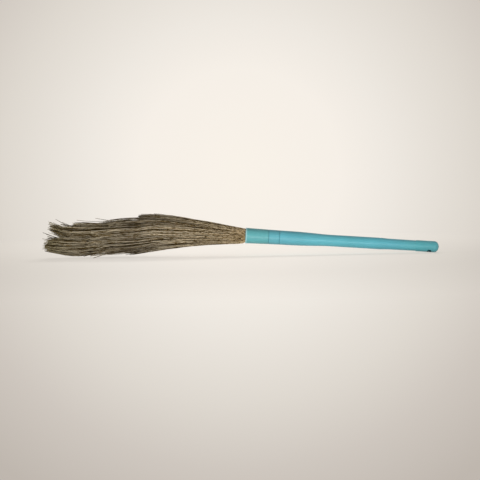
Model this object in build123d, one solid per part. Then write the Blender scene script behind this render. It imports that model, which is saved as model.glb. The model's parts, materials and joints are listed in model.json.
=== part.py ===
from build123d import *
import math
import os
import random

# Driving dimensions, in millimetres and degrees.
# The broom is drawn along its handle: X runs from the collar's mouth to the tip, and the grass is at minus X.
HANDLE_LEAN = 4.3  # slope of the handle, down to its tip, when the broom lies on the floor
COLLAR_LENGTH = 64.0
RING_LENGTH = 30.5
TUBE_LENGTH = 380.0  # bare tube between the ring and the end cap
CAP_LENGTH = 64.0
MOUTH_RADIUS = 21.5
COLLAR_END_RADIUS = 20.3
SHOULDER_RADIUS = 19.8  # the tube beside the ring
TAPER = ((149.0, 19.25), (192.0, 17.7))  # places and radii between the shoulder and the straight middle
GRIP_RADIUS = 16.1  # the straight middle of the tube
GRIP_START = 236.0
GRIP_END = 378.0
WAIST_START = 396.0
WAIST_RADIUS = 15.1  # the tube just past its straight middle
TAIL_RADIUS = 14.5  # the tube beside the end cap
CAP_RADIUS = 15.5
NECK_RADIUS = 18.2  # the stepped-down end of the tube that the collar and the ring sit on
NECK_START = 36.0
NECK_BORE = 16.4
SPIGOT_RADIUS = 13.6  # the stepped-down end of the tube inside the end cap
SPIGOT_LENGTH = 26.0
WALL = 1.9
SEAM = 0.9  # chamfer at each joint line
BEAD_HEIGHT = 0.45  # snap beads
BEAD_WIDTH = 3.0
SNAP_CLEARANCE = 0.05

HOLE_RADIUS = 6.0
HOLE_FROM_TIP = 27.0
HOLE_TILT = 58.0  # the hole's axis leans this far from level
EYE_WALL = 2.0

BUTT_LENGTH = 62.0  # bound butts of the stems inside the neck
BUTT_CLEARANCE = 0.05
PEG_RADIUS = 3.5
PEG_TIP_RADIUS = 2.2
HANK_SPLIT = 0.705  # share of the bundle's radius where the inner hanks end and the outer hanks begin
HANK_GAP = 0.1
BINDING_PLACES = (48.0, 68.0, 88.0)
BINDING_RADIUS = 14.2  # the bundle under a binding
BINDING_GROOVE = 10.0
WIRE_RADIUS = 0.7
WIRE_TURNS = 4
WIRE_PITCH = 1.9

# The bundle of grass at places along it: distance out of the mouth, height of its middle above the
# handle's axis, half height and half width. It fans out, droops, and lifts a little at its end.
BUNDLE = (
    (-NECK_START, 0.0, 16.3, 16.3),
    (0.0, 0.0, 19.8, 19.8),
    (120.0, 1.0, 37.0, 36.0),
    (200.0, -1.8, 49.4, 50.0),
    (250.0, -5.2, 56.4, 57.0),
    (304.0, -15.4, 60.4, 63.0),
    (404.0, -30.6, 64.0, 69.0),
    (480.0, -39.5, 65.0, 71.0),
    (565.0, -31.0, 57.0, 68.0),
)
# Rings of strands: share of the bundle's radius, and strands in the whole ring
INNER_RINGS = ((0.30, 24), (0.39, 30), (0.48, 36), (0.57, 42), (0.66, 48))
OUTER_RINGS = ((0.75, 60), (0.845, 60), (0.94, 72))
# Length of each hank out of the mouth, going round from the far side over the top
INNER_LENGTHS = (520.0, 545.0, 528.0, 548.0, 561.0, 540.0)
OUTER_LENGTHS = (415.0, 418.0, 325.0, 308.0, 385.0, 424.0, 440.0, 428.0, 358.0, 346.0, 405.0, 430.0)
RAGGED = 0.10  # share of its length by which a strand may fall short
STRAND_FILL = 0.62  # thickness of a strand as a share of the room it has
STRAND_TIP = 0.35  # thickness at the tip as a share of that
TAPER_START = 0.7  # share of its length where a strand begins to taper
SHORTEST_SPAN = 15.0  # least distance from a strand's last section to its tip
ROOT_DEPTH = 4.0  # how far a strand runs into its butt
CLUMP = 0.35  # how far a hank draws together at its tip
CLUMP_START = 0.5  # share of the hank's length where that begins
SPREAD = 0.12  # how far the inner hanks open out where the outer ones end
SPREAD_START = 380.0
SPREAD_END = 500.0

RING_START = COLLAR_LENGTH
TUBE_START = RING_START + RING_LENGTH
CAP_START = TUBE_START + TUBE_LENGTH
TIP = CAP_START + CAP_LENGTH
DOME = 12.5
LEAN = math.radians(HANDLE_LEAN)
# The end cap touches the floor where its dome begins, which sets the height of the handle's axis
REST_PLACE = TIP - DOME


def turned(points_and_curves):
    """A solid of revolution about the handle's axis from the edges of its half section."""
    return revolve(make_face(Wire(points_and_curves)), Axis.X)


def outline(*points):
    """Straight edges through the points, as a list."""
    return [Line(a, b).edge() for a, b in zip(points, points[1:])]


def bead(place, radius, width, height):
    """A round snap ring about the handle's axis."""
    half = width / 2
    arc = ThreePointArc((place - half, radius), (place, radius + height), (place + half, radius))
    foot = radius - WALL / 2
    base = outline((place + half, radius), (place + half, foot), (place - half, foot), (place - half, radius))
    return turned([arc.edge(), *base])


# Handle tube: a tapered plastic pipe, stepped down at both ends
COLLAR_SNAP = NECK_START + 14.0
CAP_SNAP = CAP_START + SPIGOT_LENGTH / 2


def handle_tube():
    taper = Spline((TUBE_START + SEAM, SHOULDER_RADIUS), *TAPER, (GRIP_START, GRIP_RADIUS),
                   tangents=((1, 0), (1, 0)))
    spigot_end = CAP_START + SPIGOT_LENGTH
    outside = [
        *outline((NECK_START, NECK_BORE), (NECK_START, NECK_RADIUS), (TUBE_START, NECK_RADIUS),
                 (TUBE_START, SHOULDER_RADIUS - SEAM), (TUBE_START + SEAM, SHOULDER_RADIUS)),
        taper.edge(),
        *outline((GRIP_START, GRIP_RADIUS), (GRIP_END, GRIP_RADIUS), (WAIST_START, WAIST_RADIUS),
                 (CAP_START, TAIL_RADIUS), (CAP_START, SPIGOT_RADIUS), (spigot_end, SPIGOT_RADIUS)),
    ]
    inside = outline(
        (spigot_end, SPIGOT_RADIUS),
        (spigot_end, SPIGOT_RADIUS - WALL),
        (WAIST_START, WAIST_RADIUS - WALL),
        (GRIP_END, GRIP_RADIUS - WALL),
        (GRIP_START, GRIP_RADIUS - WALL),
        (TAPER[0][0], NECK_BORE),
        (NECK_START, NECK_BORE),
    )
    collar_bead = bead(COLLAR_SNAP, NECK_RADIUS, BEAD_WIDTH, BEAD_HEIGHT)
    cap_bead = bead(CAP_SNAP, SPIGOT_RADIUS, BEAD_WIDTH, BEAD_HEIGHT)
    return turned([*outside, *inside]) + collar_bead + cap_bead


# Collar: the sleeve that closes round the stems, with a rolled lip at its mouth
LIP_WIDTH = 3.2
LIP_HEIGHT = 0.5
LIP_CHAMFER = 0.6
LIP_WALL = 1.5
STOP_DEPTH = 0.8  # ledge inside the collar that the neck's end meets
STOP_WIDTH = 2.0


def collar():
    mouth = (0, MOUTH_RADIUS - LIP_WALL)
    lip_start = (LIP_CHAMFER, MOUTH_RADIUS)
    lip = ThreePointArc(lip_start, (LIP_WIDTH / 2, MOUTH_RADIUS + LIP_HEIGHT), (LIP_WIDTH, MOUTH_RADIUS))
    outside = [
        *outline(mouth, (0, MOUTH_RADIUS - LIP_CHAMFER), lip_start),
        lip.edge(),
        *outline((LIP_WIDTH, MOUTH_RADIUS), (COLLAR_LENGTH - SEAM, COLLAR_END_RADIUS),
                 (COLLAR_LENGTH, COLLAR_END_RADIUS - SEAM)),
    ]
    inside = outline((COLLAR_LENGTH, COLLAR_END_RADIUS - SEAM), (COLLAR_LENGTH, NECK_RADIUS),
                     (NECK_START, NECK_RADIUS), (NECK_START, NECK_RADIUS - STOP_DEPTH),
                     (NECK_START - STOP_WIDTH, NECK_RADIUS - STOP_DEPTH), mouth)
    groove = bead(COLLAR_SNAP, NECK_RADIUS, BEAD_WIDTH + 2 * SNAP_CLEARANCE, BEAD_HEIGHT + SNAP_CLEARANCE)
    return turned([*outside, *inside]) - groove


def lock_ring():
    end = TUBE_START
    section = outline(
        (RING_START, NECK_RADIUS),
        (RING_START, COLLAR_END_RADIUS - SEAM),
        (RING_START + SEAM, COLLAR_END_RADIUS),
        (end - SEAM, SHOULDER_RADIUS),
        (end, SHOULDER_RADIUS - SEAM),
        (end, NECK_RADIUS),
        (RING_START, NECK_RADIUS),
    )
    return turned(section)


# End cap: a moulded cap with a cross tube through it for the hanging hole
HOLE_PLACE = TIP - HOLE_FROM_TIP
HOLE_FRAME = Pos(HOLE_PLACE) * Rot(HOLE_TILT - 90, 0, 0)


def dome(centre, radius, depth):
    """Quarter ellipse from the side of a cap to its end on the axis."""
    return EllipticalCenterArc((centre, 0), depth, radius, arc_size=90).edge()


def end_cap():
    shoulder = TIP - DOME
    outside = turned([
        *outline((shoulder, CAP_RADIUS), (CAP_START + SEAM, CAP_RADIUS), (CAP_START, CAP_RADIUS - SEAM / 2),
                 (CAP_START, 0), (TIP, 0)),
        dome(shoulder, CAP_RADIUS, DOME),
    ])
    hollow = turned([
        *outline((shoulder, SPIGOT_RADIUS), (CAP_START, SPIGOT_RADIUS), (CAP_START, 0), (TIP - WALL, 0)),
        dome(shoulder, SPIGOT_RADIUS, DOME - WALL),
    ])
    eye = outside & (HOLE_FRAME * Cylinder(HOLE_RADIUS + EYE_WALL, 4 * CAP_RADIUS))
    groove = bead(CAP_SNAP, SPIGOT_RADIUS, BEAD_WIDTH + 2 * SNAP_CLEARANCE, BEAD_HEIGHT + SNAP_CLEARANCE)
    hole = HOLE_FRAME * Cylinder(HOLE_RADIUS, 4 * CAP_RADIUS)
    return outside - hollow - groove + eye - hole


# Core peg: a wooden wedge driven into the middle of the butts
def core_peg():
    back = NECK_START + BUTT_LENGTH
    return turned(outline((NECK_START, 0), (NECK_START, PEG_TIP_RADIUS), (back, PEG_RADIUS), (back, 0),
                          (NECK_START, 0)))


# Bindings: galvanised wire wound round the butts
def quarter_turn(start, start_way, end, end_way):
    """Two tangent arcs from start to end, leaving along start_way and arriving along end_way."""
    across = end - start
    both = start_way + end_way
    square = 2 - 2 * start_way.dot(end_way)
    linear = 2 * across.dot(both)
    reach = (-linear + math.sqrt(linear ** 2 + 4 * square * across.dot(across))) / (2 * square)
    first_corner = start + start_way * reach
    second_corner = end - end_way * reach
    middle = (first_corner + second_corner) * 0.5
    return [TangentArc(start, middle, tangent=start_way).edge(),
            TangentArc(middle, end, tangent=second_corner - first_corner).edge()]


def helix_point(place, turn):
    radius = BINDING_RADIUS + WIRE_RADIUS + BUTT_CLEARANCE
    angle = 2 * math.pi * turn
    x = place + (turn - WIRE_TURNS / 2) * WIRE_PITCH
    return Vector(x, radius * math.cos(angle), radius * math.sin(angle))


def helix_way(turn):
    radius = BINDING_RADIUS + WIRE_RADIUS + BUTT_CLEARANCE
    angle = 2 * math.pi * turn
    around = 2 * math.pi * radius
    return Vector(WIRE_PITCH, -around * math.sin(angle), around * math.cos(angle)).normalized()


def binding_wire(place):
    edges = []
    for quarter in range(4 * WIRE_TURNS):
        turn = quarter / 4
        edges += quarter_turn(helix_point(place, turn), helix_way(turn),
                              helix_point(place, turn + 0.25), helix_way(turn + 0.25))
    section = Plane(origin=helix_point(place, 0), z_dir=helix_way(0)) * Circle(WIRE_RADIUS)
    return sweep(section, path=Wire(edges))


def least_wire_gap():
    """Least distance between the surfaces of neighbouring turns, from points along the wire."""
    in_turn = 72
    points = [helix_point(0, step / in_turn) for step in range(in_turn * WIRE_TURNS + 1)]
    pairs = [(a, b) for i, a in enumerate(points) for b in points[i + in_turn // 2:]]
    return min((b - a).length for a, b in pairs) - 2 * WIRE_RADIUS


# Grass hanks: sectors of the bundle, each a handful of strands on its own bound butt
def between(low, high, value):
    """0 below low, 1 above high, and a smooth rise between them."""
    share = min(max((value - low) / (high - low), 0), 1)
    return share * share * (3 - 2 * share)


def bundle_at(distance):
    """Height of the bundle's middle, half height and half width at a distance out of the mouth."""
    for near, far in zip(BUNDLE, BUNDLE[1:]):
        if distance <= far[0] or far is BUNDLE[-1]:
            share = (distance - near[0]) / (far[0] - near[0])
            return [a + (b - a) * share for a, b in zip(near[1:], far[1:])]


def floor_at(distance):
    """Height of the floor under the bundle, measured square to the handle's axis."""
    return -(REST_PLACE + distance) * math.tan(LEAN) - CAP_RADIUS


def strand_side(distance, length, squeeze):
    """Thickness of a strand: a share of its room, less towards its tip."""
    room = 2 * math.pi * INNER_RINGS[0][0] / INNER_RINGS[0][1] * bundle_at(distance)[1]
    slim = 1 - (1 - STRAND_TIP) * between(TAPER_START * length, length, distance)
    return STRAND_FILL * room * slim * (1 - squeeze)


def strand(ring, angle, length, hank):
    """A square strand from its butt to its tip, lofted through parallel sections."""
    stops = [row[0] for row in BUNDLE if row[0] < length - SHORTEST_SPAN] + [length]
    stops[0] -= ROOT_DEPTH
    sections = []
    for distance in stops:
        middle, half_height, half_width = bundle_at(max(distance, -NECK_START))
        squeeze = CLUMP * between(CLUMP_START * hank["length"], hank["length"], distance)
        open_out = 1 + hank["spread"] * between(SPREAD_START, SPREAD_END, distance)
        across = ring * math.cos(angle)
        upward = ring * math.sin(angle)
        across += (hank["ring"] * math.cos(hank["angle"]) - across) * squeeze
        upward += (hank["ring"] * math.sin(hank["angle"]) - upward) * squeeze
        side = strand_side(max(distance, -NECK_START), length, squeeze)
        reach = side / 2 * (abs(math.cos(angle)) + abs(math.sin(angle)))
        y = across * open_out * half_width
        z = max(middle + upward * open_out * half_height, floor_at(distance) + reach)
        section = Plane(origin=(-distance, y, z), x_dir=(0, math.cos(angle), math.sin(angle)), z_dir=(1, 0, 0))
        sections.append((section * Rectangle(side, side)).face().outer_wire())
    return Solid.make_loft(sections, ruled=True)


def butt(start_angle, sweep_angle, low, high, bound):
    """The packed butts of one hank: a sector of the bundle, waisted under each binding if bound."""
    front = NECK_START
    back = NECK_START + BUTT_LENGTH
    points = [(front, low), (front, high)]
    if bound:
        for place in BINDING_PLACES:
            near = place - BINDING_GROOVE / 2
            far = place + BINDING_GROOVE / 2
            points += [(near, high), (near, BINDING_RADIUS), (far, BINDING_RADIUS), (far, high)]
    points += [(back, high), (back, low), (front, low)]
    half_section = Rot(math.degrees(start_angle), 0, 0) * make_face(Wire(outline(*points)))
    return revolve(half_section, Axis.X, revolution_arc=math.degrees(sweep_angle))


def grass_hank(index, count, rings, lengths, low, high, bound, spread, luck):
    sector = 2 * math.pi / count
    hank = {
        "angle": (index + 0.5) * sector,
        "ring": sum(ring for ring, _ in rings) / len(rings),
        "length": lengths[index],
        "spread": spread,
    }
    strands = []
    for ring, in_ring in rings:
        share = in_ring // count
        for place in range(share):
            angle = (index + (place + 0.5) / share) * sector
            length = hank["length"] * (1 - RAGGED * luck.random() ** 2)
            strands.append(strand(ring, angle, length, hank))
    body = butt(index * sector, sector, low, high, bound).solid()
    return body.fuse(*strands)


def grass_hanks():
    """All the hanks by name: inner ones about the peg, outer ones under the bindings."""
    luck = random.Random(7)
    full = BUNDLE[0][2]
    split = HANK_SPLIT * full
    hanks = {}
    for index in range(len(INNER_LENGTHS)):
        hanks[f"grass_hank_inner_{index + 1}"] = grass_hank(
            index, len(INNER_LENGTHS), INNER_RINGS, INNER_LENGTHS, PEG_RADIUS + BUTT_CLEARANCE,
            split - HANK_GAP, False, SPREAD, luck)
    for index in range(len(OUTER_LENGTHS)):
        hanks[f"grass_hank_outer_{index + 1:02d}"] = grass_hank(
            index, len(OUTER_LENGTHS), OUTER_RINGS, OUTER_LENGTHS, split, NECK_BORE - BUTT_CLEARANCE, True, 0, luck)
    return hanks


# The broom: all pieces, leaned and laid on the floor with the middle of their box over the origin
pieces = {
    "handle_tube": handle_tube(),
    "collar": collar(),
    "lock_ring": lock_ring(),
    "end_cap": end_cap(),
    "core_peg": core_peg(),
}
for number, place in enumerate(BINDING_PLACES):
    pieces[f"binding_wire_{number + 1}"] = binding_wire(place)
pieces.update(grass_hanks())

leaned = {name: Rot(0, HANDLE_LEAN, 0) * piece for name, piece in pieces.items()}
boxes = [piece.bounding_box() for piece in leaned.values()]
low = [min(getattr(box.min, axis) for box in boxes) for axis in "XYZ"]
high = [max(getattr(box.max, axis) for box in boxes) for axis in "XYZ"]
laid = Pos(-(low[0] + high[0]) / 2, -(low[1] + high[1]) / 2, -low[2]) * Rot(0, HANDLE_LEAN, 0)

os.makedirs("parts", exist_ok=True)
for name, piece in pieces.items():
    export_step(laid * piece, f"parts/{name}.step")

print("least gap between turns of a binding:", round(least_wire_gap(), 2), "mm")
print("box:", [round(h - l, 1) for l, h in zip(low, high)])
print("mouth:", (laid * Pos(0, 0, 0)).position, "tip:", (laid * Pos(TIP, 0, 0)).position)
print("hanging hole:", (laid * Pos(HOLE_PLACE, 0, 0)).position, (laid * HOLE_FRAME).z_axis.direction)
print("grip:", (laid * Pos((GRIP_START + GRIP_END) / 2, 0, 0)).position, laid.x_axis.direction)
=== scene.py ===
import json
import math

import bpy
import numpy as np
from mathutils import Matrix


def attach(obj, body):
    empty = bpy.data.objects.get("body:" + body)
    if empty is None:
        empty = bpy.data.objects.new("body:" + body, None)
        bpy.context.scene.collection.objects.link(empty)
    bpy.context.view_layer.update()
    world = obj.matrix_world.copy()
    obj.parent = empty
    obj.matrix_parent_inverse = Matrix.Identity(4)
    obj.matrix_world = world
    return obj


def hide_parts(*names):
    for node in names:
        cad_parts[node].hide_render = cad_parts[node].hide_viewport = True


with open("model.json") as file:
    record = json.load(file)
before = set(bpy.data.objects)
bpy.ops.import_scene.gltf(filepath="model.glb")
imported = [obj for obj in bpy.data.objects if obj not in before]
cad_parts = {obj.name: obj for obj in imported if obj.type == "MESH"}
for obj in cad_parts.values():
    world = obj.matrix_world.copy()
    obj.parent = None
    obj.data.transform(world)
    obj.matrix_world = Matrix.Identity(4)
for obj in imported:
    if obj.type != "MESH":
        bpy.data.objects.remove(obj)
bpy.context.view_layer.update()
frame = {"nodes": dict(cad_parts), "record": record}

# Grass: some hundreds of dry stems, packed in the collar's bore and fanning out of it in hanks.
# Each hank is a sector of the bundle with its own uneven length; stems and their branches are thin rods.
# Distances run in metres out of the collar's mouth, against the way that the handle points.
grip = next(mount for mount in frame["record"]["mounts"] if mount["name"] == "straight_grip")
GRIP_FROM_MOUTH = 0.307  # the grip's mount lies so far along the handle
ALONG = np.array(grip["axis"])
ACROSS = np.array((0.0, 1.0, 0.0))
UPWARD = np.cross(ALONG, ACROSS)
MOUTH = np.array(grip["pos_m"]) - GRIP_FROM_MOUTH * ALONG

# The bundle: places out of the mouth, and how far up its middle lies, its half height and half width there.
BUNDLE_PLACES = np.array((-0.036, 0.0, 0.006, 0.018, 0.040, 0.075, 0.120, 0.200, 0.250, 0.304, 0.404, 0.480,
                          0.565))
BUNDLE_MIDDLE = np.array((0.0, 0.0, -0.0013, -0.0014, -0.0010, -0.0004, -0.0005, -0.0028, -0.0063, -0.0164,
                          -0.0306, -0.0390, -0.0330))
BUNDLE_HALF_HEIGHT = np.array((0.0163, 0.0198, 0.0222, 0.0243, 0.0266, 0.0306, 0.0366, 0.0490, 0.0552,
                               0.0590, 0.0630, 0.0640, 0.0560))
BUNDLE_HALF_WIDTH = np.array((0.0163, 0.0198, 0.0222, 0.0243, 0.0265, 0.0305, 0.0360, 0.0500, 0.0570,
                              0.0630, 0.0690, 0.0710, 0.0680))
PAST_LAST = 1.05  # the bundle's curves may run past their last place by the twentieth part of a span
CLUMP, CLUMP_START = 0.30, 0.86  # a hank draws in by this share, from this share of its length on
SPREAD_PLACES = (0.340, 0.470)  # where the inner hanks open out
LIFT_START, LIFT_CURVE, LIFT_LIMIT = 0.87, 1.6, 1.1  # a hank's tip bends from this share of its length on


def in_broom(x, y, z):
    """Points given along the handle from the mouth, across it and up from its axis, in the frame."""
    return MOUTH + x[..., None] * ALONG + y[..., None] * ACROSS + z[..., None] * UPWARD


def rise(low, high, value):
    """0 below low, 1 above high, and 3s^2 - 2s^3 between them."""
    share = np.clip((value - low) / (high - low), 0, 1)
    return share * share * (3 - 2 * share)


def through(places, values, at):
    """Cubic through the values at their places, with central differences as its slopes."""
    slope = np.gradient(values, places)
    k = np.clip(np.searchsorted(places, at) - 1, 0, len(places) - 2)
    span = places[k + 1] - places[k]
    t = np.clip((at - places[k]) / span, 0, PAST_LAST)
    start = (1 + 2 * t) * (1 - t) ** 2 * values[k] + t * (1 - t) ** 2 * span * slope[k]
    return start + t * t * (3 - 2 * t) * values[k + 1] + t * t * (t - 1) * span * slope[k + 1]


def lie(ring, angle, hank, distance):
    """Where a stem lies across and up at each distance: its place in the round bundle, drawn to the hank's
    own middle towards the tip, opened out where the outer hanks end, and scaled to the bundle's oval."""
    squeeze = CLUMP * rise(CLUMP_START * hank["length"], hank["length"], distance)
    opened = 1 + hank["spread"] * rise(*SPREAD_PLACES, distance)
    across = ring * np.cos(angle)
    upward = ring * np.sin(angle)
    across = across + (hank["ring"] * math.cos(hank["angle"]) - across) * squeeze
    upward = upward + (hank["ring"] * math.sin(hank["angle"]) - upward) * squeeze
    y = across * opened * through(BUNDLE_PLACES, BUNDLE_HALF_WIDTH, distance)
    z = upward * opened * through(BUNDLE_PLACES, BUNDLE_HALF_HEIGHT, distance)
    tip = np.clip((distance / hank["length"] - LIFT_START) / (1 - LIFT_START), 0, LIFT_LIMIT)
    return y, z + through(BUNDLE_PLACES, BUNDLE_MIDDLE, distance) + hank["lift"] * tip ** LIFT_CURVE


DRIFT_PLACES = (0.0, 0.10)  # stems lie straight in the mouth and drift freely past the second place


def drift(waves, distance):
    """Slow sideways drift of each row: the sum of two sines with the row's own lengths and starts."""
    length, start = waves
    turns = distance[:, :, None] / length[:, None, :] + start[:, None, :]
    return np.sin(2 * np.pi * turns).sum(axis=2) * rise(*DRIFT_PLACES, distance)


def rods(points, radii, sides, turn):
    """Thin rods through rows of points: at each point a regular polygon of the given radius square to the
    row, joined to the next by quads and closed at both ends. Gives vertices and loops by face size."""
    count, rings = radii.shape
    way = np.gradient(points, axis=1)
    way /= np.linalg.norm(way, axis=2, keepdims=True)
    aside = np.stack((np.zeros(count), np.cos(turn), np.sin(turn)), 1)[:, None, :]
    first = np.cross(way, np.cross(aside, way))
    first /= np.linalg.norm(first, axis=2, keepdims=True)
    second = np.cross(way, first)
    corner = 2 * np.pi * np.arange(sides) / sides
    circle = np.cos(corner)[:, None] * first[:, :, None, :] + np.sin(corner)[:, None] * second[:, :, None, :]
    vertices = points[:, :, None, :] + radii[:, :, None, None] * circle
    index = np.arange(count * rings * sides).reshape(count, rings, sides)
    after = np.roll(index, -1, axis=2)
    quads = np.stack((index[:, :-1], after[:, :-1], after[:, 1:], index[:, 1:]), -1)
    ends = np.stack((index[:, 0, ::-1], index[:, -1]), 1)
    return vertices.reshape(-1, 3), quads, ends


MAP_START, MAP_LENGTH = 0.05, 0.66  # the map runs from inside the neck to past the tips
TONES = 48  # rows of the map for each depth in the bundle, dark to pale
DEPTH_ENDS = (-0.15, 0.29, 0.38)  # how far out each depth is given painted shade, for the stems over it
ROW_FILL, ROW_MARGIN = 0.7, 0.15  # a rod's sides take up this share of its row's height
END_HEIGHT, END_WIDTH = 0.3, 0.004  # half the size of a rod's end faces on the map


def rod_map(distance, row, sides):
    """The rods' own map: across it the distance along the broom, up it a row for each depth and tone."""
    rows = len(DEPTH_ENDS) * TONES
    left = (distance + MAP_START) / MAP_LENGTH
    edge = np.arange(sides + 1) / sides * ROW_FILL + ROW_MARGIN
    up = (row[:, None] + edge[None, :]) / rows
    shape = (len(row), distance.shape[1] - 1, sides)
    u0 = np.broadcast_to(left[:, :-1, None], shape)
    u1 = np.broadcast_to(left[:, 1:, None], shape)
    v0 = np.broadcast_to(up[:, None, :-1], shape)
    v1 = np.broadcast_to(up[:, None, 1:], shape)
    corners = ((u0, v0), (u0, v1), (u1, v1), (u1, v0))
    quads = np.stack([np.stack(corner, -1) for corner in corners], -2)
    turn = 2 * np.pi * np.arange(sides) / sides
    round_v = up[:, :1] + (0.5 + END_HEIGHT * np.sin(turn))[None, :] * ROW_FILL / rows
    round_u = END_WIDTH * np.cos(turn)[None, :]
    ends = np.stack((np.stack((left[:, :1] + round_u[:, ::-1], round_v[:, ::-1]), -1),
                     np.stack((left[:, -1:] + round_u, round_v), -1)), 1)
    return quads, ends


def mesh_of(name, parts, material):
    """One smooth mesh object from arrays of vertices, faces and map places."""
    vertices, loops, sizes, places = [], [], [], []
    base = 0
    for points, faces, face_maps in parts:
        vertices.append(points)
        for corners in faces:
            flat = corners.reshape(-1, corners.shape[-1])
            loops.append((flat + base).ravel())
            sizes.append(np.full(len(flat), flat.shape[1]))
        places += [face_map.reshape(-1, 2) for face_map in face_maps]
        base += len(points)
    vertices, loops, sizes = np.concatenate(vertices), np.concatenate(loops), np.concatenate(sizes)
    mesh = bpy.data.meshes.new(name)
    mesh.vertices.add(len(vertices))
    mesh.vertices.foreach_set("co", vertices.astype(np.float32).ravel())
    mesh.loops.add(len(loops))
    mesh.loops.foreach_set("vertex_index", loops.astype(np.int32))
    mesh.polygons.add(len(sizes))
    mesh.polygons.foreach_set("loop_start", np.concatenate(((0,), np.cumsum(sizes)[:-1])).astype(np.int32))
    layer = mesh.uv_layers.new(name="OFBake")
    layer.uv.foreach_set("vector", np.concatenate(places).astype(np.float32).ravel())
    mesh.update(calc_edges=True)
    mesh.shade_smooth()
    mesh.materials.append(material)
    piece = bpy.data.objects.new(name, mesh)
    bpy.context.scene.collection.objects.link(piece)
    return piece


def new_material(name):
    """A material with its node tree and its principled shader."""
    material = bpy.data.materials.new(name)
    material.use_nodes = True
    return material, material.node_tree, material.node_tree.nodes["Principled BSDF"]


def feed(tree, slot, value):
    """A node's input, linked to another node's output or set to a plain value."""
    if isinstance(value, bpy.types.NodeSocket):
        tree.links.new(value, slot)
    else:
        slot.default_value = value


def math_of(tree, operation, *values):
    """A number worked out from numbers."""
    node = tree.nodes.new("ShaderNodeMath")
    node.operation = operation
    for slot, value in zip(node.inputs, values):
        feed(tree, slot, value)
    return node.outputs["Value"]


def vector_of(tree, operation, *values):
    """A vector, or a number where the operation gives one, worked out from vectors."""
    node = tree.nodes.new("ShaderNodeVectorMath")
    node.operation = operation
    for slot, value in zip(node.inputs, values):
        feed(tree, slot, value)
    return node.outputs["Value" if operation in ("DOT_PRODUCT", "LENGTH") else "Vector"]


def scaled(tree, colour, amount):
    """A colour times a number."""
    node = tree.nodes.new("ShaderNodeVectorMath")
    node.operation = "SCALE"
    feed(tree, node.inputs[0], colour)
    feed(tree, node.inputs["Scale"], amount)
    return node.outputs["Vector"]


def triple(tree, x, y, z):
    """Three numbers as one vector."""
    node = tree.nodes.new("ShaderNodeCombineXYZ")
    for slot, value in zip(node.inputs, (x, y, z)):
        feed(tree, slot, value)
    return node.outputs["Vector"]


def parts_of(tree, vector):
    """A vector as three numbers."""
    node = tree.nodes.new("ShaderNodeSeparateXYZ")
    feed(tree, node.inputs[0], vector)
    return node.outputs[0], node.outputs[1], node.outputs[2]


def spread(tree, value, low, high, to_low, to_high):
    """A value's range mapped evenly onto another range, held at its ends."""
    node = tree.nodes.new("ShaderNodeMapRange")
    for slot, given in zip(node.inputs, (value, low, high, to_low, to_high)):
        feed(tree, slot, given)
    return node.outputs["Result"]


def ramp_of(tree, value, stops, between="LINEAR"):
    """Colours at places along a value."""
    node = tree.nodes.new("ShaderNodeValToRGB")
    node.color_ramp.interpolation = between
    elements = node.color_ramp.elements
    while len(elements) < len(stops):
        elements.new(0.5)
    for element, (place, colour) in zip(elements, stops):
        element.position = place
        element.color = (*colour, 1)
    feed(tree, node.inputs["Fac"], value)
    return node.outputs["Color"]


def noise_of(tree, vector, scale, detail):
    """Noise between 0 and 1, about a half."""
    node = tree.nodes.new("ShaderNodeTexNoise")
    node.inputs["Scale"].default_value = scale
    node.inputs["Detail"].default_value = detail
    feed(tree, node.inputs["Vector"], vector)
    return node.outputs["Fac"]


DARKEST = 0.1


def sway_of(tree, value, amount, middle):
    """A value between 0 and 1 made to sway about a middle by an amount, and no darker than the darkest."""
    centred = math_of(tree, "SUBTRACT", value, 0.5)
    return math_of(tree, "MAXIMUM", math_of(tree, "MULTIPLY_ADD", centred, amount, middle), DARKEST)


def roughen(tree, shader, height, distance):
    """A height that lifts the surface by up to a distance, as the shader's bump."""
    bump = tree.nodes.new("ShaderNodeBump")
    bump.inputs["Distance"].default_value = distance
    feed(tree, bump.inputs["Height"], height)
    feed(tree, shader.inputs["Normal"], bump.outputs["Normal"])


NOISE_RANGE = (0.3, 0.7)  # nearly all of a noise lies between these
GRASS_COLOURS = ((0.08, (0.730, 0.557, 0.334)), (0.19, (0.396, 0.301, 0.177)), (0.28, (0.378, 0.292, 0.178)),
                 (0.40, (0.376, 0.302, 0.196)), (0.56, (0.243, 0.194, 0.126)), (0.70, (0.367, 0.297, 0.190)),
                 (0.80, (0.328, 0.266, 0.170)), (0.92, (0.212, 0.172, 0.086)))  # at places across the map; the bright neck stop and the rise past 0.56 are painted light where the stems shade each other
DEPTH_SPAN, DEPTH_PAINTED_SHADE = 0.13, 0.53  # how long a stem takes to come out of the painted shade, and how deep that painted shade is
TONE_MIDDLE = 0.95
TONE_GROWTH = (0.08, 0.40, 1.4, 2.5)  # places on the map, and how far the tones differ at them
SPECKLE_FADE = (0.08, 0.40, 9.0, 5.5)  # places on the map, and how strong the short streaks are at them
SPECKLE_SCALE, SPECKLE_LONGER = 84, 32  # streaks are short at the collar and get longer
SPECKLE_STAGGER = 0.618  # how far the streaks of one row of the map are set off from the next
SPECKLE_NOISE = (1.0, 3.0)  # scale and detail
PALEST = 1.25  # no stem is paler than this times its colour
TINT_SHADES = (DARKEST, 1.1)
DARK_TINT = (0.76, 0.26)  # green and blue left in the darkest stems
PALE_TINT = (1.06, 1.16)  # green and blue of the palest
GRASS_ROUGHNESS = (0.62, 0.48)
GRASS_GLOSS = 0.12
FIBRE_HEIGHT = 0.0001


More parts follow.
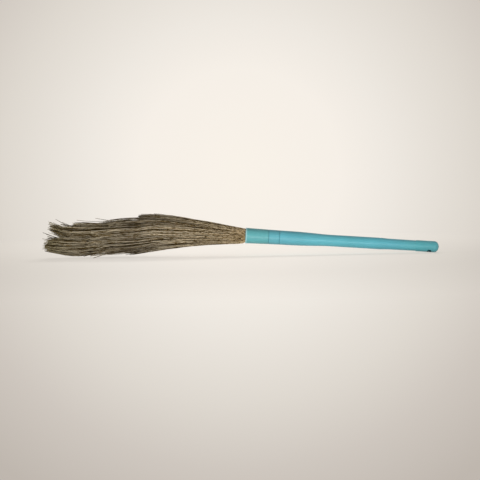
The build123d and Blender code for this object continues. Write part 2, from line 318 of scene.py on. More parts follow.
def grass_material():
    """Dry grass: straw near the collar, greyer and darker to the tips, with painted light at the neck and
    past 0.56 on the map where the stems shade each other; each stem with its own tone and short streaks;
    stems that lie under others get painted shade until those end."""
    material, tree, shader = new_material("dry_grass")
    own = tree.nodes.new("ShaderNodeUVMap")
    own.uv_map = "OFBake"
    along, row, _ = parts_of(tree, own.outputs["UV"])
    depths = len(DEPTH_ENDS)
    colour = ramp_of(tree, along, GRASS_COLOURS)
    starts = [(at / depths, ((end + MAP_START) / MAP_LENGTH,) * 3) for at, end in enumerate(DEPTH_ENDS)]
    start = ramp_of(tree, row, starts, "CONSTANT")
    stop = math_of(tree, "ADD", start, DEPTH_SPAN / MAP_LENGTH)
    # Painted shade: stems under others are darker until the stems over them end.
    painted_depth_shade = spread(tree, along, start, stop, DEPTH_PAINTED_SHADE, 1.0)
    turn = math_of(tree, "FRACT", math_of(tree, "MULTIPLY", row, depths))
    tone = sway_of(tree, turn, spread(tree, along, *TONE_GROWTH), TONE_MIDDLE)
    row_number = math_of(tree, "MULTIPLY", row, depths * TONES)
    set_off = math_of(tree, "MULTIPLY", row_number, SPECKLE_STAGGER)
    scale = math_of(tree, "MULTIPLY_ADD", along, -SPECKLE_LONGER, SPECKLE_SCALE)
    streak = math_of(tree, "MULTIPLY_ADD", along, scale, set_off)
    mottle = noise_of(tree, triple(tree, streak, row_number, 0.0), *SPECKLE_NOISE)
    speckle = sway_of(tree, mottle, spread(tree, along, *SPECKLE_FADE), 1.0)
    pale = math_of(tree, "MINIMUM", math_of(tree, "MULTIPLY", tone, speckle), PALEST)
    shade = math_of(tree, "MULTIPLY", pale, painted_depth_shade)
    tints = zip(DARK_TINT, PALE_TINT)
    green, blue = [spread(tree, shade, *TINT_SHADES, dark, light) for dark, light in tints]
    tinted = vector_of(tree, "MULTIPLY", colour, triple(tree, 1.0, green, blue))
    feed(tree, shader.inputs["Base Color"], scaled(tree, tinted, shade))
    feed(tree, shader.inputs["Roughness"], spread(tree, mottle, *NOISE_RANGE, *GRASS_ROUGHNESS))
    roughen(tree, shader, mottle, FIBRE_HEIGHT)
    shader.inputs["Specular IOR Level"].default_value = GRASS_GLOSS
    return material


FLOOR_GAP = 0.0002


def above_floor(points, radius):
    """The same points, none lower than its own radius and a hair above the floor."""
    points[..., 2] = np.maximum(points[..., 2], radius + FLOOR_GAP)
    return points


def rows_of(depth, tone):
    """The map row of each rod, from its depth in the bundle and its tone."""
    return depth * TONES + np.clip(tone * TONES, 0, TONES - 1).astype(int)


def rod_part(points, distance, radius, sides, row, turn):
    """Rods kept above the floor, each turned about its own length, with their map, ready for a mesh."""
    vertices, quads, ends = rods(above_floor(points, radius), radius, sides, turn)
    return vertices, (quads, ends), rod_map(distance, row, sides)


# Single stems: hank, depth, tone, width, then distance out of the mouth, across and up at both ends.
# All stand off the bundle but the last: a dark stem laid among the others beside the collar as painted shade
# for a dark parting there, set in the deepest row so that the painted depth shade darkens it too.
STRAYS = (
    ("inner_2", 0, 0.25, 1.0, (0.489, -0.010, -0.0030), (0.528, -0.014, 0.0145)),
    ("inner_2", 0, 0.30, 1.0, (0.474, -0.012, -0.0045), (0.509, -0.016, 0.0075)),
    ("inner_3", 0, 0.15, 1.2, (0.500, -0.030, -0.0400), (0.5585, -0.034, -0.0235)),
    ("inner_3", 0, 0.20, 1.2, (0.500, -0.034, -0.0385), (0.548, -0.038, -0.0275)),
    ("inner_3", 0, 0.20, 1.2, (0.505, -0.030, -0.0395), (0.545, -0.032, -0.0330)),
    ("inner_3", 0, 0.25, 1.2, (0.505, -0.032, -0.0410), (0.541, -0.034, -0.0365)),
    ("inner_4", 0, 0.25, 1.0, (0.530, -0.026, -0.0440), (0.560, -0.028, -0.0410)),
    ("outer_08", 0, 0.20, 1.6, (0.350, -0.034, -0.0625), (0.4150, -0.038, -0.0850)),
    ("outer_08", 0, 0.25, 1.5, (0.365, -0.030, -0.0670), (0.4235, -0.033, -0.0805)),
    ("outer_08", 0, 0.15, 1.6, (0.400, -0.028, -0.0700), (0.4430, -0.030, -0.0828)),
    ("outer_08", 0, 0.20, 1.6, (0.400, -0.030, -0.0690), (0.4390, -0.032, -0.0804)),
    ("outer_05", 0, 0.30, 1.0, (0.372, -0.020, 0.0195), (0.4170, -0.022, 0.0240)),
    ("outer_07", 2, 0.03, 2.6, (0.0125, -0.0209, -0.0091), (0.0225, -0.0226, -0.0098)),
)
STRAY_RADIUS, STRAY_TAPER = 0.0008, 0.35
STRAY_STATIONS, STRAY_SIDES = 9, 3
STRAY_CURVE = 1.15


def stray_part(strays):
    """Single stems from a start to a tip: out and across by the share of the way, up by a power of it."""
    share = np.linspace(0, 1, STRAY_STATIONS)[None, :]
    depth, tone, width, start, tip = (np.array(column) for column in list(zip(*strays))[1:])
    distance = start[:, :1] + (tip - start)[:, :1] * share
    y = start[:, 1:2] + (tip - start)[:, 1:2] * share
    z = start[:, 2:3] + (tip - start)[:, 2:3] * share ** STRAY_CURVE
    radius = STRAY_RADIUS * width[:, None] * (1 - STRAY_TAPER * share ** 2)
    row = rows_of(depth, tone)
    return rod_part(in_broom(-distance, y, z), distance, radius, STRAY_SIDES, row, np.zeros(len(row)))


INNER_RINGS = ((0.30, 24), (0.39, 30), (0.48, 36), (0.57, 42), (0.66, 48))  # share of the half height, stems
OUTER_RINGS = ((0.75, 60), (0.845, 60), (0.94, 72))
ROOM = 2 * math.pi * INNER_RINGS[0][0] / INNER_RINGS[0][1]  # a stem's share of the bundle's half height
TRIM = 0.115  # the uppermost stems of the inner hanks end sooner by this share
TRIM_PLACES = (0.43, 0.50)  # in half heights up from the bundle's middle
NOTCH = 0.062  # stems between the upper and the lower tufts end sooner by this share
NOTCH_PLACE, NOTCH_WIDTH = -0.04, 0.10  # in half heights too
TIGHTER = 0.035  # leaves room for the branches round the outermost stems
WANDER = 0.09  # a lock's slow drift round the bundle, in rooms
DIVE, DIVE_DEPTH = 0.022, 1.2  # its drift in and out of the bundle, in half heights, and how deep it is set
LOCK_WAVES = (0.12, 0.32)  # how long the waves of its drift are
TWIST, TWIST_START = 0.5, 0.15  # the bundle turns by this many radians a metre, so that its front rises
PULL_PLACES = (0.10, 0.40)  # where branches of the innermost stems go to fill the core

STEM_RADIUS = (0.00070, 0.00125, 0.00050)  # at the butt, on the way and at the tip
STEM_TAPER = 3
STEM_WIDTHS = (0.75, 1.1)
SWELL_PLACES = (0.02, 0.20)  # where stems swell to their full width
STEM_STATIONS, STEM_SIDES = 20, 3
NECK_STATIONS = 4  # the first stations lie at the bundle's first places, so that a stem flares at the mouth
NECK_DEPTH = -BUNDLE_PLACES[0]
STEM_ENDS = (0.9, 1.0)  # stems end before their branches, at shares of the length between these
STEM_RAGGED_CURVE = 2
STEM_PALER, STEM_TONE_SPREAD = 0.20, 0.30
STEM_TONES = (0.02, 0.98)

TUFTS, BRANCHES = 3, 2  # each stem's branches go in this many tufts, with so many in each
TUFT_PLACE = 0.48  # how far a tuft lies from its stem, in rooms
TUFT_REACH = (0.6, 1.2)  # tufts lie nearer and further by these
TUFT_SHIFT = 0.25  # how far tufts are from standing evenly round their stem
TUFT_WANDER = 0.09  # a tuft's own drift, in rooms
TUFT_WAVES = (0.07, 0.20)
TUFT_TURNS = 3.6  # a tuft winds round its stem by up to this many turns a metre
TONE_SWING = 0.18  # tufts of one stem are paler and darker than the ring by turns
BRANCH_RADIUS = (0.00050, 0.00095)
BRANCH_TIP, BRANCH_TAPER = 0.70, 2.2  # a branch's tip against its start
BRANCH_STATIONS, BRANCH_SIDES = 20, 3
BRANCH_STARTS = (-0.02, 0.34)  # shares of the stem's length
BRANCH_RAGGED, BRANCH_RAGGED_CURVE = 0.055, 1.6
BRANCH_AWAY = 0.22  # how far a branch strays in its tuft, in rooms
BRANCH_TURN = 0.5  # how far it turns round its tuft on the way, in radians
BRANCH_TONE_SPREAD = 0.36
LEAVE_LENGTH = 0.16  # a branch takes this far to leave its stem
LOOSE_SHARE, LOOSE_BEND, FIRM_BEND = 0.03, 0.006, 0.002  # a few branches bend far off, the others a little
BEND_LIMIT, BEND_CURVE = 1.2, 4


def hank_piece(name, hank, material, chance):
    """Stems of one hank and the finer branches that leave each of them on the way out. A stem follows its
    path from the neck, swelling out of the mouth and thinning with a power of the share of its length. A
    branch follows its stem's path, set off by its tuft, which winds round the stem as it goes out, by its
    own place in the tuft, and by a bend that grows with a power of the share."""
    ring, angle, depth = hank["rings"], hank["angles"], hank["depths"]
    stems = len(ring)
    length = hank["length"] * (1 - hank["ragged"] * chance.random(stems) ** STEM_RAGGED_CURVE)
    if hank["spread"]:
        up = ring * np.sin(angle)
        length = length * (1 - TRIM * rise(*TRIM_PLACES, up))
        length = length * (1 - NOTCH * np.exp(-((up - NOTCH_PLACE) / NOTCH_WIDTH) ** 2))
    tone = np.clip(chance.normal(hank["tones"] + STEM_PALER, STEM_TONE_SPREAD), *STEM_TONES)
    waves = [(chance.uniform(*LOCK_WAVES, (stems, 2)), chance.random((stems, 2))) for _ in range(2)]
    slant = hank["skew"] * chance.normal(0, 1, stems)

    def paths(parent, distance, pull):
        """Across and up of each row, with its lock's drift and slant, drawn into the core by its pull; and
        how wide a stem's room is there."""
        core = 1 - pull[:, None] * rise(*PULL_PLACES, distance)
        core = core * (1 - TIGHTER * rise(*SWELL_PLACES, distance))
        sway, dive = [drift((w[0][parent], w[1][parent]), distance) for w in waves]
        out = ring[parent][:, None] * core + DIVE * (dive - DIVE_DEPTH)
        aside = WANDER * sway + slant[parent][:, None] * np.maximum(distance, 0)
        turned = angle[parent][:, None] + ROOM * aside / ring[parent][:, None]
        turned = turned - TWIST * np.maximum(distance - TWIST_START, 0)
        y, z = lie(out, turned, hank, distance)
        return y, z, ROOM * through(BUNDLE_PLACES, BUNDLE_HALF_HEIGHT, distance)

    stem_end = length * chance.uniform(*STEM_ENDS, stems)
    neck = np.tile(BUNDLE_PLACES[:NECK_STATIONS], (stems, 1))
    share = np.linspace(0, 1, STEM_STATIONS - NECK_STATIONS + 1)[None, 1:]
    distance = np.concatenate((neck, neck[:, -1:] + (stem_end[:, None] - neck[:, -1:]) * share), axis=1)
    share = (distance + NECK_DEPTH) / (stem_end[:, None] + NECK_DEPTH)
    y, z, _ = paths(np.arange(stems), distance, np.zeros(stems))
    butt, swell, tip = STEM_RADIUS
    radius = butt + (swell - butt) * rise(*SWELL_PLACES, distance) + (tip - swell) * share ** STEM_TAPER
    radius = radius * chance.uniform(*STEM_WIDTHS, stems)[:, None]
    turn = chance.uniform(0, 2 * np.pi, stems)
    parts = [rod_part(in_broom(-distance, y, z), distance, radius, STEM_SIDES, rows_of(depth, tone), turn)]

    tufts = stems * TUFTS
    spoke = np.arange(TUFTS) + chance.uniform(-TUFT_SHIFT, TUFT_SHIFT, (stems, TUFTS))
    spoke = 2 * np.pi * (chance.random(stems)[:, None] + spoke / TUFTS).ravel()
    reach = TUFT_PLACE * chance.uniform(*TUFT_REACH, tufts)
    by_turns = chance.permuted(np.tile(np.linspace(-1, 1, TUFTS), (stems, 1)), axis=1)
    tuft_tone = (hank["tones"][:, None] + TONE_SWING * by_turns).ravel()
    winding = 2 * np.pi * TUFT_TURNS * chance.uniform(-1, 1, tufts)
    tuft_waves = [(chance.uniform(*TUFT_WAVES, (tufts, 2)), chance.random((tufts, 2))) for _ in range(2)]

    count = tufts * BRANCHES
    tuft = np.repeat(np.arange(tufts), BRANCHES)
    parent = tuft // TUFTS
    share = np.linspace(0, 1, BRANCH_STATIONS)[None, :]
    start = chance.uniform(*BRANCH_STARTS, count) * length[parent]
    end = length[parent] * (1 - BRANCH_RAGGED * chance.random(count) ** BRANCH_RAGGED_CURVE)
    distance = start[:, None] + (end - start)[:, None] * share
    pull = hank["pulls"][parent] * chance.random(count)
    y, z, room = paths(parent, distance, pull)
    leaving = room * rise(0, LEAVE_LENGTH, distance - start[:, None])
    swing = [TUFT_WANDER * drift((w[0][tuft], w[1][tuft]), distance) for w in tuft_waves]
    away = BRANCH_AWAY * np.sqrt(chance.random(count))[:, None]
    side = chance.uniform(0, 2 * np.pi, count)[:, None]
    side = side + chance.normal(0, BRANCH_TURN, count)[:, None] * share
    loose = np.where(chance.random(count) < LOOSE_SHARE, LOOSE_BEND, FIRM_BEND)
    bend = np.clip(chance.normal(0, 1, (2, count)), -BEND_LIMIT, BEND_LIMIT) * loose
    bend = bend[:, :, None] * share ** BEND_CURVE
    wound = spoke[tuft][:, None] + winding[tuft][:, None] * distance
    y = y + leaving * (reach[tuft][:, None] * np.cos(wound) + swing[0] + away * np.cos(side)) + bend[0]
    z = z + leaving * (reach[tuft][:, None] * np.sin(wound) + swing[1] + away * np.sin(side)) + bend[1]
    radius = chance.uniform(*BRANCH_RADIUS, count)[:, None] * (1 + (BRANCH_TIP - 1) * share ** BRANCH_TAPER)
    row = rows_of(depth[parent], chance.normal(tuft_tone[tuft], BRANCH_TONE_SPREAD))
    turn = chance.uniform(0, 2 * np.pi, count)
    parts.append(rod_part(in_broom(-distance, y, z), distance, radius, BRANCH_SIDES, row, turn))
    if hank["strays"]:
        parts.append(stray_part(hank["strays"]))
    return mesh_of(name, parts, material)


INNER_LENGTHS = (0.544, 0.548, 0.548, 0.558, 0.560, 0.556)
OUTER_LENGTHS = (0.415, 0.418, 0.308, 0.302, 0.385, 0.424, 0.440, 0.428, 0.332, 0.324, 0.405, 0.430)
INNER_LIFTS = (0.008, 0.014, 0.011, -0.007, -0.005, 0.004)  # how far each inner hank's tip bends up
INNER_SPREAD = 0.12  # by how much the inner hanks open out
RAGGED = {"inner": 0.03, "outer": 0.15}  # how unevenly a hank's stems end, in shares of its length
SKEW = {"inner": 3.0, "outer": 2.2}  # how far locks slant round the bundle, in rooms a metre
# Each ring's tone; the two rings under the outermost are darker as painted shade, and each ring's depth sets
# how long its painted depth shade lasts.
RING_TONES = {0.94: 0.47, 0.845: 0.38, 0.75: 0.40, 0.66: 0.50, 0.57: 0.44, 0.48: 0.44, 0.39: 0.44,
              0.30: 0.44}
RING_DEPTHS = {0.94: 0, 0.845: 0, 0.75: 1, 0.66: 1, 0.57: 2, 0.48: 2, 0.39: 2, 0.30: 2}
RING_PULLS = {0.39: 0.4, 0.30: 0.95}  # branches of these rings are drawn into the core by up to this share
SEED = 53
dry_grass = grass_material()
chance = np.random.default_rng(SEED)
for group, rings, lengths, spread_out, lifts, digits in (
        ("inner", INNER_RINGS, INNER_LENGTHS, INNER_SPREAD, INNER_LIFTS, 1),
        ("outer", OUTER_RINGS, OUTER_LENGTHS, 0.0, (0.0,) * len(OUTER_LENGTHS), 2)):
    sector = 2 * math.pi / len(lengths)
    for index, hank_length in enumerate(lengths):
        mark = f"{group}_{str(index + 1).zfill(digits)}"
        stems = [(ring, index + (place + 0.5) * len(lengths) / around)
                 for ring, around in rings for place in range(around // len(lengths))]
        hank = {
            "angle": (index + 0.5) * sector,
            "ring": sum(ring for ring, _ in rings) / len(rings),
            "length": hank_length,
            "ragged": RAGGED[group],
            "spread": spread_out,
            "lift": lifts[index],
            "skew": SKEW[group],
            "rings": np.array([ring for ring, _ in stems]),
            "angles": np.array([turn for _, turn in stems]) * sector,
            "tones": np.array([RING_TONES[ring] for ring, _ in stems]),
            "depths": np.array([RING_DEPTHS[ring] for ring, _ in stems]),
            "pulls": np.array([RING_PULLS.get(ring, 0.0) for ring, _ in stems]),
            "strays": [stray for stray in STRAYS if stray[0] == mark],
        }
        piece = hank_piece(f"grass_{mark}", hank, dry_grass, chance)
        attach(piece, "root")
        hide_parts(f"grass_hank_{mark}")

# Binding wires: three windings of galvanised steel wire, pulled tight round the butts of the stems.
# The zinc is dull grey, with cloudy spangles and a rougher bloom; the tube's neck hides all three.
ZINC_COLOURS = ((0.35, (0.30, 0.31, 0.32)), (0.65, (0.56, 0.57, 0.58)))
ZINC_ROUGHNESS = (0.35, 0.60)
SPANGLE_NOISE = (420.0, 2.0)  # scale and detail
BLOOM_NOISE = (90.0, 3.0)
SPANGLE_HEIGHT = 0.00002


def finish(node, material):
    """Gives a node of the frame its material."""
    frame["nodes"][node].data.materials.clear()
    frame["nodes"][node].data.materials.append(material)


galvanised, tree, shader = new_material("galvanised_wire")
place = tree.nodes.new("ShaderNodeTexCoord").outputs["Object"]
spangle = noise_of(tree, place, *SPANGLE_NOISE)
feed(tree, shader.inputs["Base Color"], ramp_of(tree, spangle, ZINC_COLOURS))
bloom = noise_of(tree, place, *BLOOM_NOISE)
feed(tree, shader.inputs["Roughness"], spread(tree, bloom, *NOISE_RANGE, *ZINC_ROUGHNESS))
roughen(tree, shader, spangle, SPANGLE_HEIGHT)
shader.inputs["Metallic"].default_value = 1.0
for number in (1, 2, 3):
    finish(f"binding_wire_{number}", galvanised)

# Core peg: a turned wooden wedge, driven into the middle of the butts so that they jam in the neck.
# Plain pale hardwood, its grain along the broom; none of it shows once the broom is closed.
WOOD_COLOURS = ((0.35, (0.33, 0.20, 0.10)), (0.65, (0.55, 0.38, 0.22)))
WOOD_ROUGHNESS = (0.75, 0.55)
WOOD_STRETCH = (40.0, 900.0, 900.0)  # along the broom, across it and up
WOOD_NOISE = (1.0, 4.0)
WOOD_PORES = 0.00008


def group_of(name, given, put):
    """An empty node group with named inputs and outputs, given as names with their socket types."""
    tree = bpy.data.node_groups.new(name, "ShaderNodeTree")
    for sockets, way in ((given, "INPUT"), (put, "OUTPUT")):
        for socket, kind in sockets:
            tree.interface.new_socket(name=socket, in_out=way, socket_type=f"NodeSocket{kind}")
    return tree, tree.nodes.new("NodeGroupInput"), tree.nodes.new("NodeGroupOutput")


def placed(tree, group):
    """A node group set in a node tree."""
    node = tree.nodes.new("ShaderNodeGroup")
    node.node_tree = group
    return node


def broom_place_group():
    """Where a point lies along the handle from its mouth, across it and up from its axis."""
    tree, _, put = group_of("broom_place", (), (("Along", "Float"), ("Across", "Float"), ("Up", "Float")))
    offset = vector_of(tree, "SUBTRACT", tree.nodes.new("ShaderNodeTexCoord").outputs["Object"], MOUTH)
    for name, way in (("Along", ALONG), ("Across", ACROSS), ("Up", UPWARD)):
        feed(tree, put.inputs[name], vector_of(tree, "DOT_PRODUCT", offset, way))
    return tree


broom_place = broom_place_group()
wood, tree, shader = new_material("peg_wood")
spot = placed(tree, broom_place).outputs
fibres = vector_of(tree, "MULTIPLY", triple(tree, spot["Along"], spot["Across"], spot["Up"]), WOOD_STRETCH)
grain = noise_of(tree, fibres, *WOOD_NOISE)
feed(tree, shader.inputs["Base Color"], ramp_of(tree, grain, WOOD_COLOURS))
feed(tree, shader.inputs["Roughness"], spread(tree, grain, *NOISE_RANGE, *WOOD_ROUGHNESS))
roughen(tree, shader, grain, WOOD_PORES)
finish("core_peg", wood)

# Handle tube: a tapered pipe of blow-moulded turquoise plastic, pushed over the bound butts.
# Its wide shoulder narrows to a straight grip; the mould leaves a faint line along its top and underside.
JOINTS = (0.064, 0.0945)  # where the ring meets the collar and the tube, in metres from the mouth
# Partly painted light: the tube gets paler towards the tip, making up for the lamps falling off there.
TUBE_COLOURS = ((JOINTS[1], (0.100, 0.378, 0.458)), (0.150, (0.102, 0.394, 0.470)),
                (0.26, (0.110, 0.446, 0.520)), (0.40, (0.112, 0.452, 0.540)), (0.475, (0.112, 0.446, 0.500)))
HANDLE_SPAN = 0.54
# Painted shade: the plastic darkens within these distances of the joints, as the gaps there would shade it.
JOINT_SHADE_WIDTH = (0.0005, 0.0017)
JOINT_PAINTED_SHADE = 0.75
CLOUD_NOISE = (16.0, 2.0)  # scale and detail
FLOW_STRETCH = (7.0, 190.0, 190.0)  # along the handle, across it and up
FLOW_NOISE = (1.0, 3.0)
CLOUD_SHADES = (0.95, 1.05)
SCRATCH_STRETCH = (45.0, 1500.0, 1500.0)
SCRATCH_NOISE = (1.0, 2.0)
SCRATCH_RANGE = (0.64, 0.72)  # only the noise's peaks are scratches
SCRATCH_COLOUR = (0.33, 0.60, 0.64, 1)
SCRATCH_SHARE, SCRATCH_ROUGHNESS = 0.45, 0.4
MOULD_LINE = (0.00015, 0.00050)
LINE_SHADE = 0.88
PLASTIC_ROUGHNESS = (0.30, 0.42)
GRAIN_NOISE = (1500.0, 1.0)
GRAIN_SHARE = 0.6  # how high the grain stands against the mould line
PLASTIC_HEIGHT = 0.00005
MIX_INPUTS, MIX_OUTPUT = (0, 6, 7), 2  # a mix node's sockets for the share and two colours, and its colour


def mixed(tree, share, first, second):
    """One colour going over into another by a share."""
    node = tree.nodes.new("ShaderNodeMix")
    node.data_type = "RGBA"
    for number, value in zip(MIX_INPUTS, (share, first, second)):
        feed(tree, node.inputs[number], value)
    return node.outputs[MIX_OUTPUT]


def moulded_plastic_group():
    """Moulded plastic: faint flow streaks along the handle and clouds in its colour, fine scratches, painted
    shade in the joints, a mould line along its top and underside, and a fine grain."""
    tree, given, put = group_of("moulded_plastic", (("Colour", "Color"),),
                                (("Colour", "Color"), ("Roughness", "Float"), ("Height", "Float")))
    spot = placed(tree, broom_place).outputs
    place = triple(tree, spot["Along"], spot["Across"], spot["Up"])
    cloud = noise_of(tree, place, *CLOUD_NOISE)
    flow = noise_of(tree, vector_of(tree, "MULTIPLY", place, FLOW_STRETCH), *FLOW_NOISE)
    scratch = noise_of(tree, vector_of(tree, "MULTIPLY", place, SCRATCH_STRETCH), *SCRATCH_NOISE)
    scratched = spread(tree, scratch, *SCRATCH_RANGE, 0.0, SCRATCH_SHARE)
    grain = noise_of(tree, place, *GRAIN_NOISE)
    gaps = [math_of(tree, "ABSOLUTE", math_of(tree, "SUBTRACT", spot["Along"], joint)) for joint in JOINTS]
    # Painted shade at the joints.
    joint_shade = spread(tree, math_of(tree, "MINIMUM", *gaps), *JOINT_SHADE_WIDTH, JOINT_PAINTED_SHADE, 1.0)
    line = spread(tree, math_of(tree, "ABSOLUTE", spot["Across"]), *MOULD_LINE, 1.0, 0.0)
    shade = math_of(tree, "MULTIPLY", joint_shade, spread(tree, line, 0.0, 1.0, 1.0, LINE_SHADE))
    for clouding in (cloud, flow):
        shade = math_of(tree, "MULTIPLY", shade, spread(tree, clouding, *NOISE_RANGE, *CLOUD_SHADES))
    colour = mixed(tree, scratched, given.outputs["Colour"], SCRATCH_COLOUR)
    feed(tree, put.inputs["Colour"], scaled(tree, colour, shade))
    rough = spread(tree, flow, *NOISE_RANGE, *PLASTIC_ROUGHNESS)
    feed(tree, put.inputs["Roughness"], math_of(tree, "MULTIPLY_ADD", scratched, SCRATCH_ROUGHNESS, rough))
    feed(tree, put.inputs["Height"], math_of(tree, "MULTIPLY_ADD", grain, GRAIN_SHARE, line))
    return tree


moulded_plastic = moulded_plastic_group()


def plastic_material(name, colour_of):
    """One moulding's plastic: its own colour, a function of its tree and place, in the shared finish."""
    material, tree, shader = new_material(name)
    moulding = placed(tree, moulded_plastic)
    feed(tree, moulding.inputs["Colour"], colour_of(tree, placed(tree, broom_place).outputs))
    feed(tree, shader.inputs["Base Color"], moulding.outputs["Colour"])
    feed(tree, shader.inputs["Roughness"], moulding.outputs["Roughness"])
    roughen(tree, shader, moulding.outputs["Height"], PLASTIC_HEIGHT)
    return material


def tube_colour(tree, spot):
    """The tube's colour along its length, paler towards the tip as painted light against the lamps falling
    off there.
    """
    stops = [(place / HANDLE_SPAN, colour) for place, colour in TUBE_COLOURS]
    return ramp_of(tree, math_of(tree, "DIVIDE", spot["Along"], HANDLE_SPAN), stops)


finish("handle_tube", plastic_material("tube_plastic", tube_colour))

# Lock ring: a short turquoise band on the tube's neck, held between the collar and the tube's shoulder.
# The same plastic as the tube, moulded apart, and a touch duller.
RING_COLOUR = (0.102, 0.363, 0.424, 1)
RING_SHADE = (0.096, 0.349, 0.410, 1)


def ring_colour(tree, spot):
    """The ring's colour, a little deeper towards the tube."""
    return mixed(tree, spread(tree, spot["Along"], *JOINTS, 0.0, 1.0), RING_COLOUR, RING_SHADE)


finish("lock_ring", plastic_material("ring_plastic", ring_colour))

# Collar: the wide sleeve at the mouth that holds the fan of stems together, with a rolled lip.
# Moulded turquoise plastic, greener than the tube, with a painted highlight on its rolled lip; it snaps over
# the tube's neck.
COLLAR_COLOUR = (0.100, 0.354, 0.377, 1)
LIP_HIGHLIGHT_COLOUR = (0.30, 0.55, 0.575, 1)
LIP_PLACES = (0.0026, 0.0046)


def collar_colour(tree, spot):
    """The collar's colour, with a painted highlight at its lip."""
    return mixed(tree, spread(tree, spot["Along"], *LIP_PLACES, 1.0, 0.0), COLLAR_COLOUR, LIP_HIGHLIGHT_COLOUR)


finish("collar", plastic_material("collar_plastic", collar_colour))

# End cap: a round-ended cap of turquoise plastic, snapped over the tube's end, with the hanging hole in it.
# Its colour deepens towards the tip, and the inside of the hole has painted shade.
CAP_COLOUR = (0.106, 0.448, 0.502, 1)
CAP_TIP_COLOUR = (0.104, 0.420, 0.470, 1)
CAP_PLACES = (0.480, 0.500)
hanging = next(mount for mount in frame["record"]["mounts"] if mount["name"] == "hanging_hole")
HOLE_RADIUS = hanging["dims"]["r_mm"] / 1000
HOLE_EDGE = 1.03  # the painted shade ends at this many radii from the hole's axis
HOLE_PAINTED_SHADE = (0.015, 0.080, 0.100, 1)


def cap_colour(tree, spot):
    """The cap's colour, deeper at its tip, with painted shade inside the hole's radius from its axis."""
    place = tree.nodes.new("ShaderNodeTexCoord").outputs["Object"]
    offset = vector_of(tree, "SUBTRACT", place, hanging["pos_m"])
    off_axis = vector_of(tree, "LENGTH", vector_of(tree, "CROSS_PRODUCT", offset, hanging["axis"]))
    outer = mixed(tree, spread(tree, spot["Along"], *CAP_PLACES, 0.0, 1.0), CAP_COLOUR, CAP_TIP_COLOUR)
    inside = spread(tree, off_axis, HOLE_RADIUS, HOLE_RADIUS * HOLE_EDGE, 1.0, 0.0)
    return mixed(tree, inside, outer, HOLE_PAINTED_SHADE)


finish("end_cap", plastic_material("cap_plastic", cap_colour))

# Camera: long lens, low in front, at the photograph's framing.
# The mouth of the collar is set at its pixel, and the picture is rolled by the photograph's small tilt.
PIXELS = 480
PIXEL = 0.0027813  # metres to a pixel at the collar's mouth
MOUTH_PIXEL = (245.5, 235.5)
ELEVATION = math.radians(3.0)
ROLL = math.radians(0.89)
LENS = 100.0
SENSOR = 36.0
camera_data = bpy.data.cameras.new("camera")
camera_data.lens = LENS
camera_data.sensor_width = SENSOR
camera = bpy.data.objects.new("camera", camera_data)
bpy.context.scene.collection.objects.link(camera)
bpy.context.scene.camera = camera
level_right = np.array((1.0, 0.0, 0.0))
level_up = np.array((0.0, math.sin(ELEVATION), math.cos(ELEVATION)))
right = level_right * math.cos(ROLL) - level_up * math.sin(ROLL)
up = level_right * math.sin(ROLL) + level_up * math.cos(ROLL)
backward = np.cross(right, up)
target = MOUTH + (right * (PIXELS / 2 - MOUTH_PIXEL[0]) - up * (PIXELS / 2 - MOUTH_PIXEL[1])) * PIXEL
eye = target + backward * PIXELS * PIXEL * LENS / SENSOR
turned = Matrix(np.column_stack((right, up, backward)).tolist()).to_4x4()
camera.matrix_world = Matrix.Translation(eye) @ turned

# Backdrop and floor: a pale sweep, brightest behind the broom and falling off to the picture's corners.
# The camera and the plastic's gloss see its glow, and near the broom a share of lit floor with the shadow.
GLOW_WAY = (0.0, 1.0, 0.0)
GLOW_ANGLE = math.radians(16.0)
GLOW_COLOURS = ((0.0, (0.946, 0.888, 0.810)), (0.27, (0.92, 0.866, 0.80)), (0.40, (0.855, 0.81, 0.75)),
                (0.62, (0.735, 0.69, 0.63)), (0.80, (0.62, 0.57, 0.52)), (1.0, (0.52, 0.472, 0.425)))
SKY_COLOUR = (1.0, 0.97, 0.93, 1)
SKY_STRENGTH = 0.18
FLOOR_REACH = 300.0
FLOOR_COLOUR = (0.74, 0.70, 0.65, 1)
FLOOR_ROUGHNESS = 0.9
FRONT_FLOOR_GLOW = 0.38  # the front of the floor glows at this strength, lighting the broom from below as a bounce would
FRONT_FLOOR_GLOW_EDGE = (-0.06, 0.0)  # it fades out towards the back between these depths
SHADOW_SHARE = 0.28  # share of lit floor in what is seen near the broom
SHADOW_PLACES = (0.65, 1.3)  # it fades out between these distances from the middle
LIT_GAIN = 1.6  # so that the lit share is as bright as the rest where no shadow falls


def glow_of(tree, direction):
    """A painted pool of light: cream that falls off with the angle between a direction and the middle of the
    backdrop.
    """
    nearness = vector_of(tree, "DOT_PRODUCT", vector_of(tree, "NORMALIZE", direction), GLOW_WAY)
    share = spread(tree, math_of(tree, "ARCCOSINE", nearness), 0.0, GLOW_ANGLE, 0.0, 1.0)
    return ramp_of(tree, share, GLOW_COLOURS)


def either(tree, share, first, second):
    """Two shaders mixed by a share."""
    node = tree.nodes.new("ShaderNodeMixShader")
    for slot, value in zip(node.inputs, (share, first, second)):
        feed(tree, slot, value)
    return node.outputs[0]


def looked_at(tree):
    """1 for what the camera sees, straight, mirrored or through something clear, and 0 for falling light."""
    ray = tree.nodes.new("ShaderNodeLightPath").outputs
    mirrored = math_of(tree, "MAXIMUM", ray["Is Glossy Ray"], ray["Is Transmission Ray"])
    return math_of(tree, "MAXIMUM", ray["Is Camera Ray"], mirrored)


world = bpy.data.worlds.new("studio")
bpy.context.scene.world = world
world.use_nodes = True
tree = world.node_tree
light = tree.nodes["Background"]
light.inputs["Color"].default_value = SKY_COLOUR
light.inputs["Strength"].default_value = SKY_STRENGTH
seen = tree.nodes.new("ShaderNodeBackground")
feed(tree, seen.inputs["Color"], glow_of(tree, tree.nodes.new("ShaderNodeTexCoord").outputs["Object"]))
sweep = either(tree, looked_at(tree), light.outputs[0], seen.outputs[0])
feed(tree, tree.nodes["World Output"].inputs["Surface"], sweep)

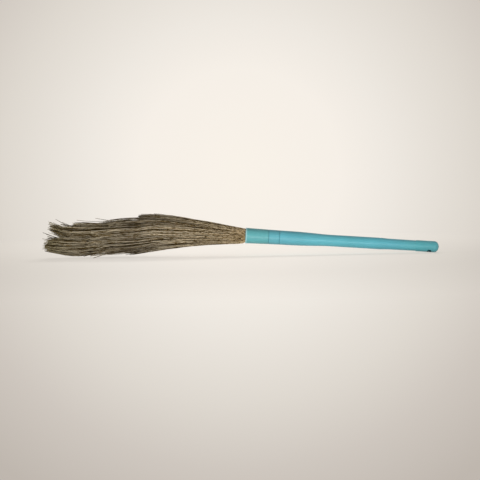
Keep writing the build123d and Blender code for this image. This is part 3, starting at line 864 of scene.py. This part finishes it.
pale_floor, tree, shader = new_material("pale_floor")
shader.inputs["Base Color"].default_value = FLOOR_COLOUR
shader.inputs["Roughness"].default_value = FLOOR_ROUGHNESS
shader.inputs["Emission Color"].default_value = SKY_COLOUR
place = tree.nodes.new("ShaderNodeTexCoord").outputs["Object"]
_, depth_place, _ = parts_of(tree, place)
# Painted light: the floor's front glows onto the broom; the camera sees the pale sweep there instead.
feed(tree, shader.inputs["Emission Strength"], spread(tree, depth_place, *FRONT_FLOOR_GLOW_EDGE, FRONT_FLOOR_GLOW, 0.0))
glow = glow_of(tree, vector_of(tree, "SUBTRACT", place, eye))
shown = tree.nodes.new("ShaderNodeEmission")
feed(tree, shown.inputs["Color"], glow)
lit = tree.nodes.new("ShaderNodeBsdfDiffuse")
feed(tree, lit.inputs["Color"], scaled(tree, glow, LIT_GAIN))
near = spread(tree, vector_of(tree, "LENGTH", place), *SHADOW_PLACES, SHADOW_SHARE, 0.0)
floor_seen = either(tree, near, shown.outputs[0], lit.outputs[0])
ground = either(tree, looked_at(tree), shader.outputs[0], floor_seen)
feed(tree, tree.nodes["Material Output"].inputs["Surface"], ground)
floor_mesh = bpy.data.meshes.new("floor")
corners = [(-FLOOR_REACH, -FLOOR_REACH, 0), (FLOOR_REACH, -FLOOR_REACH, 0), (FLOOR_REACH, FLOOR_REACH, 0),
           (-FLOOR_REACH, FLOOR_REACH, 0)]
floor_mesh.from_pydata(corners, [], [(0, 1, 2, 3)])
floor_mesh.materials.append(pale_floor)
floor = bpy.data.objects.new("floor", floor_mesh)
bpy.context.scene.collection.objects.link(floor)

# Lamps: a wide soft key low in front, a card lying on the floor before the broom, a fill from behind and
# above, and a lamp for the grass end. Only the card shows in glossy surfaces, as the plastic's soft sheen.


def lamp(name, place, aim, width, height, power, mirrored):
    """A soft rectangular lamp at a place, turned to its aim, and seen in glossy surfaces or not."""
    data = bpy.data.lights.new(name, "AREA")
    data.shape = "RECTANGLE"
    data.size = width
    data.size_y = height
    data.energy = power
    thing = bpy.data.objects.new(name, data)
    back = np.array(place, dtype=float) - np.array(aim)
    back /= np.linalg.norm(back)
    aside = np.cross((0, 0, 1), back)
    aside /= np.linalg.norm(aside)
    turned = Matrix(np.column_stack((aside, np.cross(back, aside), back)).tolist()).to_4x4()
    thing.matrix_world = Matrix.Translation(place) @ turned
    thing.visible_camera = False
    thing.visible_glossy = mirrored
    bpy.context.scene.collection.objects.link(thing)


BROOM_MIDDLE = (0.0, 0.0, 0.05)
GRASS_END = (-0.4, 0.0, 0.05)
OVER_CARD = (0.30, -0.29, 1.0)
lamp("key", (0.35, -2.8, 0.16), BROOM_MIDDLE, width=2.4, height=0.28, power=29, mirrored=False)
lamp("card", (0.30, -0.31, 0.004), OVER_CARD, width=2.4, height=0.38, power=7.5, mirrored=True)
lamp("fill", (0.2, 2.8, 2.0), BROOM_MIDDLE, width=2.4, height=0.8, power=60, mirrored=False)
lamp("end", (-2.8, 0.3, 0.7), GRASS_END, width=1.6, height=0.8, power=25, mirrored=False)

bpy.context.scene.view_settings.view_transform = "Standard"
